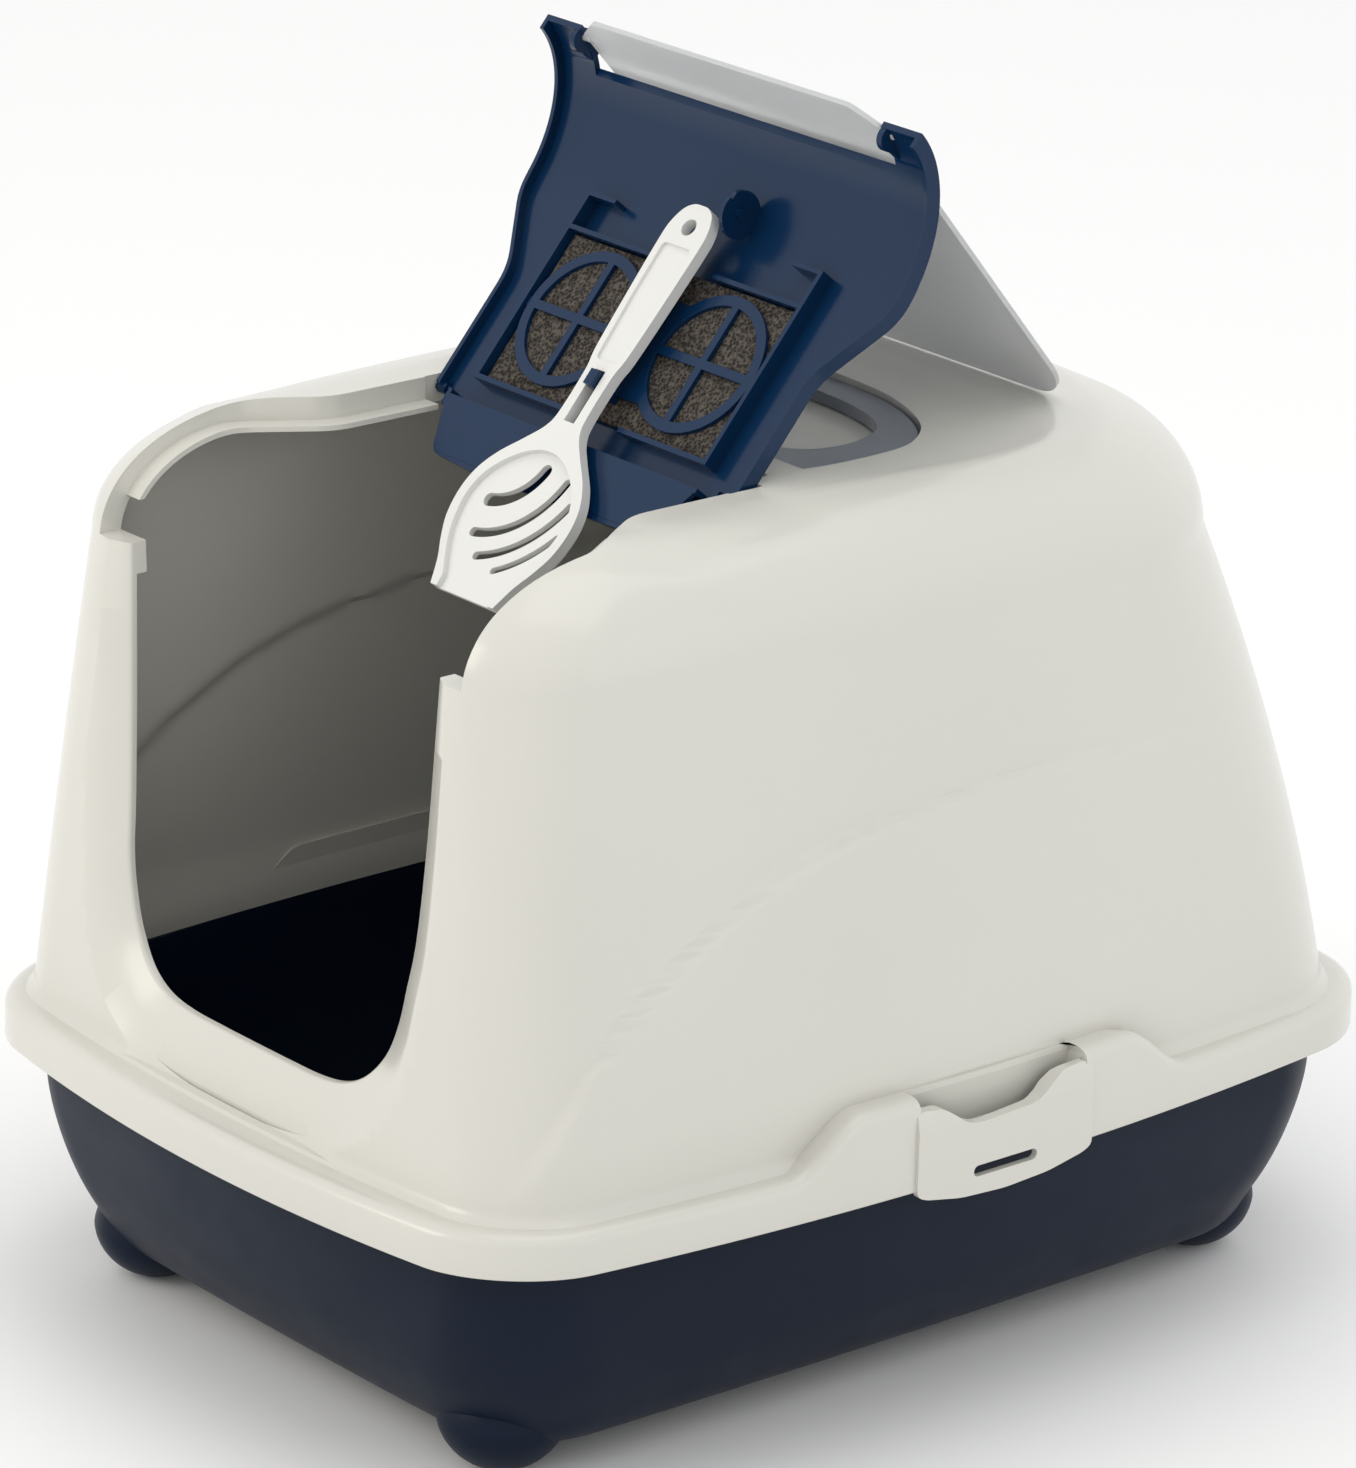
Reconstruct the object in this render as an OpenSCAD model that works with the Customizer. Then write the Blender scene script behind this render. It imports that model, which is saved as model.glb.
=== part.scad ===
// Hooded cat litter box: tray, latched hood, flip-up lid with filter and scoop, swing flap,
// carrying handle and two latches.
// Millimetres. Origin: floor centre. +Z up, entrance faces -Y. The lid stands open, as at rest.

/* [Overall] */
// width across the hood's rim
rim_width = 450; // [380:1:560]
// length across the hood's rim
rim_length = 580; // [540:1:720]
// height of the hood's flat deck above the floor
deck_height = 427; // [380:1:540]
// wall thickness of the hood and the tray
wall = 3; // [2:0.1:4]

/* [Lid and flap] */
// angle the lid turns from closed to open
lid_open = 130.4; // [90:0.1:135]
// gap between the lid's edge and the hood's opening
lid_gap = 1; // [0.5:0.1:3]
// flap length below its pins
flap_drop = 198; // [150:1:230]
// flap half width at its pins
flap_half = 106; // [90:1:107]
// flap sheet thickness
flap_t = 2.5; // [1.5:0.1:4]

/* [Handle, latches, pins] */
// handle plate thickness
handle_t = 6; // [4:0.1:6]
// latch width
latch_w = 106; // [70:1:130]
// radius of the pins the moving pieces turn on
pin_r = 2.2; // [1.8:0.1:2.6]
// radial clearance of every pin in its hole
pin_gap = 0.08; // [0.03:0.01:0.1]

/* [Filter and scoop] */
// filter pad width
pad_w = 164; // [120:1:180]
// filter pad thickness
pad_t = 4; // [2:0.5:5]
// scoop length from blade edge to handle end
scoop_len = 212; // [180:1:225]

/* [Hidden] */
dx = (rim_width - 450) / 2;
dy = -(rim_length - 580) / 2;
dz = deck_height - 427;
hy = -64 + dy;                 // lid hinge
hz = 421 + dz;
py = -237 + dy;                // flap pins with the lid closed
pz = 382 + dz;
pa = atan2(pz - hz, py - hy);
pd = norm([py - hy, pz - hz]);
fy = hy + pd * cos(pa - lid_open);   // flap pins with the lid open
fz = hz + pd * sin(pa - lid_open);
flap_lean = acos(min(1, (fz - deck_height - 1.3) / flap_drop));
bore_r = pin_r + pin_gap;
pivot_y = -20 + dy;            // handle pivot
ivory = [0.93, 0.91, 0.85];
navy = [0.05, 0.17, 0.33];
deep = [0.12, 0.17, 0.25];

// ---- rounded, bowed outlines stacked into a skin ----
// one quarter: nk arc steps and ns points along each half side
nk = 7;
ns = 3;
function corner(a, b, r, sx, sy, t0) =
  [for (i = [0:nk]) let (t = t0 + 90 * i / nk) [sx * (a - r) + r * cos(t), sy * (b - r) + r * sin(t)]];
function side(p, q) = [for (i = [1:ns]) p + (q - p) * i / (ns + 1)];
// half width a, front yf, rear yr, corner radii rf and rr, bows bx and by, at height z
function ring(a, yf, yr, rf, rr, bx, by, z) =
  let (yc = (yf + yr) / 2, b = (yr - yf) / 2,
       c0 = corner(a, b, rr, 1, 1, 0), c1 = corner(a, b, rr, -1, 1, 90),
       c2 = corner(a, b, rf, -1, -1, 180), c3 = corner(a, b, rf, 1, -1, 270),
       s = concat(c0, side(c0[nk], c1[0]), c1, side(c1[nk], c2[0]),
                  c2, side(c2[nk], c3[0]), c3, side(c3[nk], c0[0])))
  [for (q = s) [q[0] - bx * (q[0] / a) * pow(q[1] / b, 2),
                yc + q[1] - by * (q[1] / b) * pow(q[0] / a, 2), z]];
// a closed solid through stacked outlines, lowest first
module skin(rows) {
  n = len(rows[0]);
  m = len(rows);
  polyhedron(points = [for (r = rows) for (q = r) q],
    faces = concat([[for (i = [0:n - 1]) i]], [[for (i = [n - 1:-1:0]) (m - 1) * n + i]],
      [for (j = [0:m - 2]) for (i = [0:n - 1]) let (k = (i + 1) % n)
        [j * n + i, (j + 1) * n + i, (j + 1) * n + k]],
      [for (j = [0:m - 2]) for (i = [0:n - 1]) let (k = (i + 1) % n)
        [j * n + i, (j + 1) * n + k, j * n + k]]), convexity = 6);
}
// the hood's wall, e inside its outer surface
function wallring(e, z, a, yf, yr, rf, rr, bw) =
  ring(a + dx - e, yf + dy + e, yr - dy - e, max(rf - e, 6), max(rr - e, 6), bw, bw, z);
function hood_rows(e, low) = concat(
  let (g = (142 - low) * 0.06) [wallring(e, low, 209.6 + g, -270.6 - g, 271.6 + g, 43, 52, 14.5)],
  [wallring(e, 142, 209.6, -270.6, 271.6, 43, 52, 14.5)],
  [wallring(e, 220 + dz * 0.3, 203, -263, 259, 46, 60, 14)],
  [wallring(e, 300 + dz * 0.6, 195, -256, 243.5, 50, 82, 13)],
  // the top turns over on a quarter ellipse
  [for (t = [0:15:90]) let (c = 1 - cos(t))
    wallring(e, 372 + dz + (55 - e) * sin(t), 187 - (55 - e) * c, -249 + (70 - e) * c,
             223 - (48 - e) * c, 46 - 23 * c, 104 - 34 * c, 12)]);
// the rim's outline, e inside its edge
function rim_ring(e, z) = ring(225 + dx - e, -290 + dy + e, 290 - dy - e, 51 - e, 51 - e, 22, 22, z);
module rim_prism(e, z0, z1) skin([rim_ring(e, z0), rim_ring(e, z1)]);

// ---- profile of the lid's skin, e below its top, as a region from there down ----
module lid_profile(e, x0, x1) translate([x0, 0, 0]) rotate([90, 0, 90]) linear_extrude(x1 - x0)
  polygon(concat([[-20 + dy, 424 + dz - e]],
    [for (t = [0:7.5:90]) [-170 + dy - (70 - e) * sin(t), 372 + dz + (52 - e) * cos(t)]],
    [[-240 + dy + e, 340 + dz], [-20 + dy, 340 + dz]]));
// plan of the opening, grown by g; rear edge at yb
module opening(g, yb) offset(delta = g)
  both_sides([[136, -330], [136, -167], [111, -128], [111, yb - dy]]);
module ledge_hole() both_sides([[126, -331], [126, -171], [101, -132], [101, -40]]);
// a plan from its right half, front to rear, at the standard size
module both_sides(half) polygon(concat(
  [for (p = half) [p[0] + dx, p[1] + dy]],
  [for (i = [len(half) - 1:-1:0]) [-half[i][0] - dx, half[i][1] + dy]]));

// ---- entrance: a U edge, bevelled outwards ----
eu = [[116, -238, 376], [112, -241, 301], [109, -244, 254], [106, -247, 230], [102, -249, 210],
      [95, -250, 194], [84, -252, 182], [70, -254, 174.5], [52, -254.5, 171], [26, -254.5, 170],
      [0, -254.5, 169.5]];
function ez(z) = z + dz * max(0, min(1, (z - 169) / 207));
// edge pushed out by w along the outline's normal and to depth y + v
last = len(eu) - 1;
function edir(i) = i == 0 ? [1, 0] : i == last ? [0, -1] :
  let (d = eu[i + 1] - eu[i - 1], l = norm([d[0], d[2]])) [-d[2] / l, d[0] / l];
function eside(w, v, s) = [for (i = [0:last]) let (k = s > 0 ? i : last - i, n = edir(k))
  [s * (eu[k][0] + dx + n[0] * w), eu[k][1] + dy + v, ez(eu[k][2]) + n[1] * w]];
function etop(w, v, s) = [[s * (eu[0][0] + dx + w), eu[0][1] + dy + v, 440 + dz]];
function eline(w, v) = concat(etop(w, v, 1), eside(w, v, 1),
  [for (p = eside(w, v, -1)) if (abs(p[0]) > 0.01) p], etop(w, v, -1));
module entrance(w0, v0, w1, v1, back = 0)
  skin(concat([eline(w1, v1), eline(w0, v0)], back > 0 ? [eline(w0, back)] : []));

handle_arc = [[102, -23], [104, -8], [104.5, 10], [103, 33], [97, 48], [83, 64], [62, 76], [33, 85]];
grip_arc = [[60, -4], [68, 0], [75, 9], [77.5, 20], [77, 31], [70, 49], [55, 61], [28, 68]];
// a D shape from its right half and its rear end at y = tip
module d_shape(arc, tip) translate([0, dy])
  polygon(concat(arc, [[0, tip]], [for (i = [len(arc) - 1:-1:0]) [-arc[i][0], arc[i][1]]]));
module handle_plan(g) offset(delta = g) d_shape(handle_arc, 88);
module xrod(x0, x1, y, z, r) translate([x0, y, z]) rotate([0, 90, 0]) cylinder(r = r, h = x1 - x0, $fn = 48);
// the same rod on the right (s = 1) or mirrored to the left (s = -1)
module side_rod(s, x0, x1, y, z, r) xrod(s > 0 ? x0 : -x1, s > 0 ? x1 : -x0, y, z, r);
module yrod(y0, y1, x, z, r) translate([x, y0, z]) rotate([-90, 0, 0]) cylinder(r = r, h = y1 - y0, $fn = 48);

// ---- hood ----
lobe_y = 5;
module lobe_side() // raised shoulder on the rim, in y and z
  polygon([[-132, 139.2], [-132, 141.5], [-122, 143], [-112, 148], [-104, 157], [-96, 162.5], [-84, 165],
           [84, 165], [96, 162.5], [104, 157], [112, 148], [122, 143], [132, 141.5], [132, 139.2]]);
module lobes() for (s = [-1, 1]) intersection() {
    translate([s > 0 ? 196 + dx : -230 - dx, lobe_y, 0]) rotate([90, 0, 90]) linear_extrude(34) lobe_side();
    rim_prism(0, 136, 170);
  }
latch_end = latch_w / 2;       // from the latch's middle to its end
module latch_space() for (s = [-1, 1])
  translate([s > 0 ? 212.5 + dx : -240 - dx, lobe_y - latch_end - 1.5, 100]) cube([27.5, latch_w + 3, 80]);
// what fills the rim's inner side, up to height z1 at half width a1
module under_rim(z1, a1, yf1, yr1, rf1, rr1, bow1)
  skin([wallring(3, 120, 210, -271, 272, 43, 52, 14.5), wallring(3, z1, a1, yf1, yr1, rf1, rr1, bow1)]);
module hood() color(ivory) {
  difference() {
    union() {
      difference() {
        skin(hood_rows(0, 139));
        difference() {
          skin(hood_rows(wall, 120));
          // skirt round the lid opening and the ledge the lid closes on
          difference() {
            translate([0, 0, 360 + dz]) linear_extrude(80) opening(2.5, -53 + dy);
            lid_profile(10.5, -150 - dx, 150 + dx);
            translate([-200, -53 + dy, 350]) cube([400, 60, 100]);
            translate([-101 - dx, -80 + dy, 350]) cube([202 + 2 * dx, 60, 100]);
          }
          // recess for the handle
          translate([0, 0, 415 + dz]) linear_extrude(20) handle_plan(4.5);
          // frame behind the entrance bevel
          entrance(wall, 3.5, 26 + wall, -12);
        }
      }
      // rim: lip and shelf
      difference() {
        skin([for (p = [[121, 0], [136, 0], [139.2, 1.2], [141.3, 3.6], [142, 7]]) rim_ring(p[1], p[0])]);
        rim_prism(3, 110, 139);
        under_rim(144, 210, -271, 272, 43, 52, 14.5);
      }
      difference() {
        lobes();
        under_rim(175, 205.5, -266.5, 266, 44, 55, 14);
      }
    }
    // lid opening, down to the ledge, and right through inside it
    difference() {
      translate([0, 0, 375 + dz]) linear_extrude(80) opening(0, -53 + dy);
      lid_profile(8, -150 - dx, 150 + dx);
    }
    translate([0, 0, 375 + dz]) linear_extrude(80) ledge_hole();
    // the ledge stops above the flap's ears
    translate([-136 - dx, -250 + dy, 375 + dz]) cube([272 + 2 * dx, 28, 16]);
    translate([-101 - dx, -70 + dy, 400 + dz]) cube([202 + 2 * dx, 17, 40]);
    translate([-112 - dx, -72.5 + dy, 405 + dz]) cube([224 + 2 * dx, 19.5, 40]);
    intersection() {
      entrance(0, 0, 52, -26, 25);
      translate([-300 - dx, -400 + dy, 143.5]) cube([600 + 2 * dx, 400, 500]);
    }
    // handle recess, with a small finger notch at its rear edge
    translate([0, 0, 417.5 + dz]) linear_extrude(20) handle_plan(1);
    translate([-22, 82 + dy, 417.5 + dz]) cube([14, 10.5, 20]);
    xrod(-106.4, 106.4, pivot_y, 421 + dz, bore_r);
    // lid hinge holes
    xrod(-115 - dx, 115 + dx, hy, hz, bore_r);
    // latches
    latch_space();
    for (s = [-1, 1])
      yrod(lobe_y - latch_end - 7, lobe_y + latch_end + 7, s * (220.5 + dx), 156, bore_r);
  }
}

// ---- tray ----
// outline at height z, e inside the skin of one [z, inset from the rim's edge, corner radius]
function tray_ring(e, z, i, r) =
  ring(225 + dx - i - e, -290 + dy + i + e, 290 - dy - i - e, r - e, r - e, tray_bow(z), tray_bow(z), z);
function tray_bow(z) = min(21, 2 + (z - 13) * 0.19);
tray_prof = [[13, 73, 36], [16.5, 61, 42], [23, 52, 48], [34, 43.5, 56], [52, 33, 58], [74, 24.5, 54],
             [98, 18.5, 47], [121, 15.5, 44], [136.5, 14.5, 44]];
foot_bowl = [[0, 0], [6, 0], [12, 1.5], [18, 4.6], [23, 9], [27, 14.6], [29.4, 21], [29.8, 27],
             [27, 34], [20, 39], [0, 41]];
foot_hollow = [[0, 3], [5, 3], [10.6, 4.6], [16, 7.5], [20.6, 11.4], [24, 17], [0, 17]];
module at_feet() for (x = [-1, 1], y = [-1, 1]) translate([x * (134 + dx), y * (212 - dy), 0]) children();
module tray() color(deep) {
  difference() {
    union() {
      skin([for (p = tray_prof) tray_ring(0, p[0], p[1], p[2])]);
      skin([for (z = [136.4, 139]) ring(219.5 + dx, -284.5 + dy, 284.5 - dy, 47, 47, 22, 22, z)]);
      at_feet() rotate_extrude($fn = 48) polygon(foot_bowl);
    }
    // inside: the floor 3 above the underside, then the walls, and out through the top
    skin(concat(
      [for (i = [1:8]) let (p = tray_prof[i]) tray_ring(wall, p[0] + (i == 1 ? 0.5 : 0), p[1], p[2])],
      [tray_ring(wall, 150, 14.5, 44)]));
    at_feet() rotate_extrude($fn = 48) polygon(foot_hollow);
  }
}

// ---- lid and what rides on it, drawn closed and turned open ----
module opened()
  translate([0, hy, hz]) rotate([-lid_open, 0, 0]) translate([0, -hy, -hz]) children();
module lid_plan(g) offset(delta = g) both_sides([
  [135 - lid_gap, -330], [135 - lid_gap, -167.5], [111 - lid_gap, -128.5], [111 - lid_gap, -64],
  [99, -64], [99, -55]]);
module lid() color(navy) opened() {
  difference() {
    union() {
      // skin
      difference() {
        translate([0, 0, 376 + dz]) linear_extrude(60) lid_plan(0);
        difference() {
          translate([-200, -340 + dy, 340 + dz]) cube([400, 330, 100]);
          lid_profile(0, -200, 200);
        }
        lid_profile(3, -200, 200);
      }
      // rim along the sides
      difference() {
        translate([0, 0, 376 + dz]) linear_extrude(60) difference() {
          lid_plan(0);
          lid_plan(-2.5);
          translate([-104 - dx, -80 + dy]) square([208 + 2 * dx, 40]);
        }
        difference() {
          translate([-200, -340 + dy, 340 + dz]) cube([400, 330, 100]);
          lid_profile(2.9, -200, 200);
        }
        lid_profile(7.7, -200, 200);
      }
      // hinge knuckles and pins
      for (s = [-1, 1]) {
        side_rod(s, 104 + dx, 110 + dx, hy, hz, 3);
        side_rod(s, 105 + dx, 114.5 + dx, hy, hz, pin_r);
        // ears that carry the flap
        side_rod(s, 108.5 + dx, 112 + dx, py + 2.2, pz, 6);
        translate([s > 0 ? 108.5 + dx : -112 - dx, py - 3, pz]) cube([3.5, 9.5, 12]);
      }
      // tail tongue behind the hinge
      translate([-92, -60 + dy, 410.6 + dz]) cube([184, 2.5, 12]);
      translate([0, dy, 410.6 + dz]) linear_extrude(2.4) polygon([
        [-92, -60], [92, -60], [90, -55], [80, -33], [76, -30.5], [53, -29],
        [-53, -29], [-76, -30.5], [-80, -33], [-90, -55]]);
      // walls round the filter
      difference() {
        translate([-pad_w / 2 - 3, -176 + dy, 413 + dz]) cube([pad_w + 6, 104, 8.5]);
        translate([-pad_w / 2 - 0.6, -155.5 + dy, 400 + dz]) cube([pad_w + 1.2, 81, 40]);
        translate([-pad_w / 2 - 0.6, -173.8 + dy, 400 + dz]) cube([pad_w + 1.2, 16, 21]);
        translate([-pad_w / 2 + 18, -180 + dy, 400 + dz]) cube([pad_w - 36, 20, 21]);
        translate([-14, -176 + dy, 400 + dz]) cube([36, 110, 21]);
      }
    }
    // middle of the front edge stops above the flap
    translate([-108 - dx, -250 + dy, 340 + dz]) cube([216 + 2 * dx, 60, 59]);
    // flap pin holes
    xrod(-113 - dx, 113 + dx, py, pz, bore_r);
    // pad bed
    translate([-pad_w / 2 - 0.6, -155.5 + dy, 421 + dz - pad_t - 8]) cube([pad_w + 1.2, 81, pad_t + 8]);
  }
}
module filter_pad() color([0.2, 0.19, 0.18]) opened()
  translate([-pad_w / 2, -155 + dy, 421 + dz - pad_t]) cube([pad_w, 80, pad_t]);
gz = 421 - pad_t - 2.4;        // underside of the grille bars
module ring_bars(x) translate([x, -116 + dy, gz + dz]) {
  difference() {
    cylinder(r = 36, h = 2.4, $fn = 72);
    translate([0, 0, -1]) cylinder(r = 31, h = 5, $fn = 72);
  }
  for (a = [0, 90]) rotate([0, 0, a]) translate([-33, -2.2, 0]) cube([66, 4.4, 2.4]);
}
module filter_grille() color(navy) opened() {
  ring_bars(-45);
  ring_bars(45);
  translate([-11, -140 + dy, gz + dz]) cube([30, 52, 2.4]);
  translate([-pad_w / 2 , -118.5 + dy, gz + dz]) cube([10, 5, 2.4]);
  translate([pad_w / 2 - 10, -118.5 + dy, gz + dz]) cube([10, 5, 2.4]);
  // lug through the scoop's neck
  translate([1.2, -92 + dy, 398 + dz]) cube([5.6, 8, gz - 397]);
}
module flap_plan() polygon(concat(
  [[-flap_half - dx, -4], [-flap_half - dx, 4], [-flap_half - dx + 14, 15]],
  [[flap_half + dx - 14, 15], [flap_half + dx, 4], [flap_half + dx, -4]],
  // the free end is narrower, with round corners
  [for (t = [0:10:90]) [free_half + flap_round * cos(t), flap_round * (1 - sin(t)) - flap_drop]],
  [for (t = [90:-10:0]) [-free_half - flap_round * cos(t), flap_round * (1 - sin(t)) - flap_drop]]));
flap_round = 28;
free_half = flap_half + dx - 7 - flap_round;   // where the free end's corners begin
module door_flap() color([0.9, 0.92, 0.93, 0.6]) translate([0, fy, fz]) rotate([flap_lean, 0, 0]) {
  translate([0, flap_t / 2, 0]) rotate([90, 0, 0]) linear_extrude(flap_t) flap_plan();
  for (s = [-1, 1]) side_rod(s, flap_half - 3 + dx, flap_half + 6 + dx, 0, 0, pin_r);
}
// scoop, blade towards the rear, its face 12 below the lid's underside
sc_x = 4;
scoop_edge = [[23, 0], [28, 12], [34, 22], [39, 33], [40.5, 46], [38, 58], [31, 69], [20, 80], [12, 88],
              [9.5, 96], [9.5, 120], [11.5, 130], [13, 160], [14, scoop_len - 14],
              [12.2, scoop_len - 6.5], [7.5, scoop_len - 1.8], [0, scoop_len]];
module scoop_plan() polygon(concat(scoop_edge,
  [for (i = [len(scoop_edge) - 2:-1:0]) [-scoop_edge[i][0], scoop_edge[i][1]]]));
module scoop() color([0.95, 0.95, 0.94]) opened()
  translate([sc_x, 29 + dy, 404 + dz]) rotate([0, 0, 180]) difference() {
  union() {
    linear_extrude(3) scoop_plan();
    difference() {
      translate([0, 0, -3]) linear_extrude(6) scoop_plan();
      translate([0, 0, -4]) linear_extrude(4) offset(delta = -2.4) scoop_plan();
      translate([-60, -1, -4]) cube([120, 14, 4]);
    }
  }
  // slots, longest at the blade's widest
  for (y = [26, 38, 50, 62]) let (reach = 26 - abs(y - 44) * 0.35)
    translate([-reach, y, -5]) cube([2 * reach, 5, 12]);
  translate([-4, 94, -5]) cube([8, 28, 12]);
  translate([0, scoop_len - 12, -5]) cylinder(r = 4.5, h = 12, $fn = 40);
}
module handle() color([0.2, 0.25, 0.33]) {
  translate([0, 0, 421 + dz - handle_t / 2]) linear_extrude(handle_t) difference() {
    intersection() {
      handle_plan(0);
      translate([-140, pivot_y]) square([280, 200]);
    }
    d_shape(grip_arc, 70);
  }
  xrod(-102, 102, pivot_y, 421 + dz, handle_t / 2);
  xrod(-106, 106, pivot_y, 421 + dz, pin_r);
}
// latch, drawn on the +X side: front outline in y and z
module latch_face() let (e = latch_end) polygon([
  [-e, 119], [6 - e, 116.5], [-e / 2, 112.5], [0, 111], [e / 2, 112.5], [e - 6, 116.5], [e, 119],
  [e, 159], [e - 4, 160.5], [e - 18, 159.5], [e - 25, 155], [e - 32, 150], [e - 38, 148.5],
  [36 - e, 147], [29 - e, 149], [22 - e, 154], [16 - e, 158], [4 - e, 159.5], [-e, 158]]);
// wall section in x and z: the curled top round the pins, and the hook
latch_section = [[222.8, 110], [226, 110.5], [226.2, 150], [225, 157], [223, 160.5], [219.5, 160.5],
                 [217.6, 158], [217.2, 154], [218.5, 150], [222.6, 146], [222.6, 134],
                 [214.5, 133.4], [214.5, 131.2], [222.6, 129]];
module latch_body() difference() {
  union() {
    intersection() {
      translate([0, lobe_y, 0]) rotate([90, 0, 90]) linear_extrude(240 + dx) latch_face();
      translate([dx, lobe_y + 70, 0]) rotate([90, 0, 0]) linear_extrude(140) polygon(latch_section);
    }
    yrod(lobe_y - latch_end - 6, lobe_y - latch_end + 10, 220.5 + dx, 156, pin_r);
    yrod(lobe_y + latch_end - 10, lobe_y + latch_end + 6, 220.5 + dx, 156, pin_r);
  }
  translate([218 + dx, lobe_y - 19, 120.5]) cube([20, 38, 5.5]);
}
module latch_right() color(ivory) latch_body();
module latch_left() color(ivory) mirror([1, 0, 0]) latch_body();

tray();
hood();
lid();
door_flap();
filter_pad();
filter_grille();
scoop();
handle();
latch_left();
latch_right();
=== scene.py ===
"""Hooded cat litter box, lid standing open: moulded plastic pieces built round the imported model."""
import math

import bmesh
import bpy
import numpy as np
from mathutils import Matrix, Vector


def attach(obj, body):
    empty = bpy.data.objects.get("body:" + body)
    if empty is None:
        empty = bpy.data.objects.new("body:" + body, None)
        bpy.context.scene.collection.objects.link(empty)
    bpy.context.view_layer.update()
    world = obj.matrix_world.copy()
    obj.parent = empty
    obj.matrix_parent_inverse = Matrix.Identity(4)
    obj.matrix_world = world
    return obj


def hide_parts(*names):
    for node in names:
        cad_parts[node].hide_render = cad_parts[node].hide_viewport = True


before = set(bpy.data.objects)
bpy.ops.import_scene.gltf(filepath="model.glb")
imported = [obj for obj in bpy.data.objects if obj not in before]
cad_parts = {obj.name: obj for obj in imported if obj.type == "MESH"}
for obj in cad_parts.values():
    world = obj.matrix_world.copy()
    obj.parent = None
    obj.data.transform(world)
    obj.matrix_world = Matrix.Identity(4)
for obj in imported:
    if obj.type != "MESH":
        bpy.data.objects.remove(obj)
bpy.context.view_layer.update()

# ---- View, light and floor ----
# A long lens looks down on the front left of the box. The room is a bright white studio
# with soft panels, and the floor is plain and pale.
EYE = np.array([2457.13, -2041.59, 1396.62])
AZIMUTH, ELEVATION, ROLL = (math.radians(d) for d in (50.46, 19.49, 1.19))
ahead = np.array([-math.sin(AZIMUTH) * math.cos(ELEVATION),
                  math.cos(AZIMUTH) * math.cos(ELEVATION), -math.sin(ELEVATION)])
level = np.cross(ahead, (0.0, 0.0, 1.0))
level /= np.linalg.norm(level)
upward = np.cross(level, ahead)
camera_x = math.cos(ROLL) * level + math.sin(ROLL) * upward
camera_y = -math.sin(ROLL) * level + math.cos(ROLL) * upward
camera = bpy.data.objects.new("camera", bpy.data.cameras.new("camera"))
bpy.context.scene.collection.objects.link(camera)
camera.matrix_world = Matrix([[camera_x[i], camera_y[i], -ahead[i], EYE[i] / 1000] for i in range(3)]
                             + [[0, 0, 0, 1]])
camera.data.sensor_fit = "HORIZONTAL"
camera.data.sensor_width = 36
camera.data.lens = 191.2
camera.data.shift_x = 0.008
camera.data.clip_end = 30
bpy.context.scene.camera = camera
bpy.context.scene.view_settings.view_transform = "Standard"

world = bpy.data.worlds.new("studio")
bpy.context.scene.world = world
world.use_nodes = True
world.node_tree.nodes["Background"].inputs["Color"].default_value = (1.0, 1.0, 1.0, 1)
world.node_tree.nodes["Background"].inputs["Strength"].default_value = 0.98


def soft_panel(name, place, target, size, watts, colour):
    """A square area light at place, facing target."""
    lamp = bpy.data.lights.new(name, "AREA")
    lamp.size = size
    lamp.energy = watts
    lamp.color = colour
    lit = bpy.data.objects.new(name, lamp)
    bpy.context.scene.collection.objects.link(lit)
    lit.location = place
    lit.rotation_euler = (Vector(target) - Vector(place)).to_track_quat("-Z", "Y").to_euler()


soft_panel("key_front_left", (-1.0, -2.6, 1.7), (0, 0, 0.25), 1.4, 17, (1.0, 0.95, 0.82))
soft_panel("top", (0.3, 0.2, 2.6), (0, 0, 0.3), 1.8, 8, (1, 1, 1))
soft_panel("fill_right", (2.8, 0.6, 1.2), (0, 0, 0.2), 1.8, 3, (0.93, 0.96, 1.0))

floor_mesh = bpy.data.meshes.new("floor")
floor_mesh.from_pydata([(-9, -9, 0), (9, -9, 0), (9, 9, 0), (-9, 9, 0)], [], [(0, 1, 2, 3)])
floor = bpy.data.objects.new("floor", floor_mesh)
bpy.context.scene.collection.objects.link(floor)
floor_finish = bpy.data.materials.new("pale_floor")
floor_finish.use_nodes = True
floor_finish.node_tree.nodes["Principled BSDF"].inputs["Base Color"].default_value = (0.92, 0.92, 0.92, 1)
floor_finish.node_tree.nodes["Principled BSDF"].inputs["Roughness"].default_value = 0.8
floor_mesh.materials.append(floor_finish)

# ---- Hood ----
# An injection-moulded shell about 3 mm thick in glossy ivory. One opening runs from the
# entrance sill up over the front and back to the lid's hinge. The rim at its foot is an
# upside-down channel that sits over the tray's rim, with raised shoulders at the latches.
DECK = 427.0
FOOT = 142.0
SHELL = 3.0
TURN = 372.0


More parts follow.
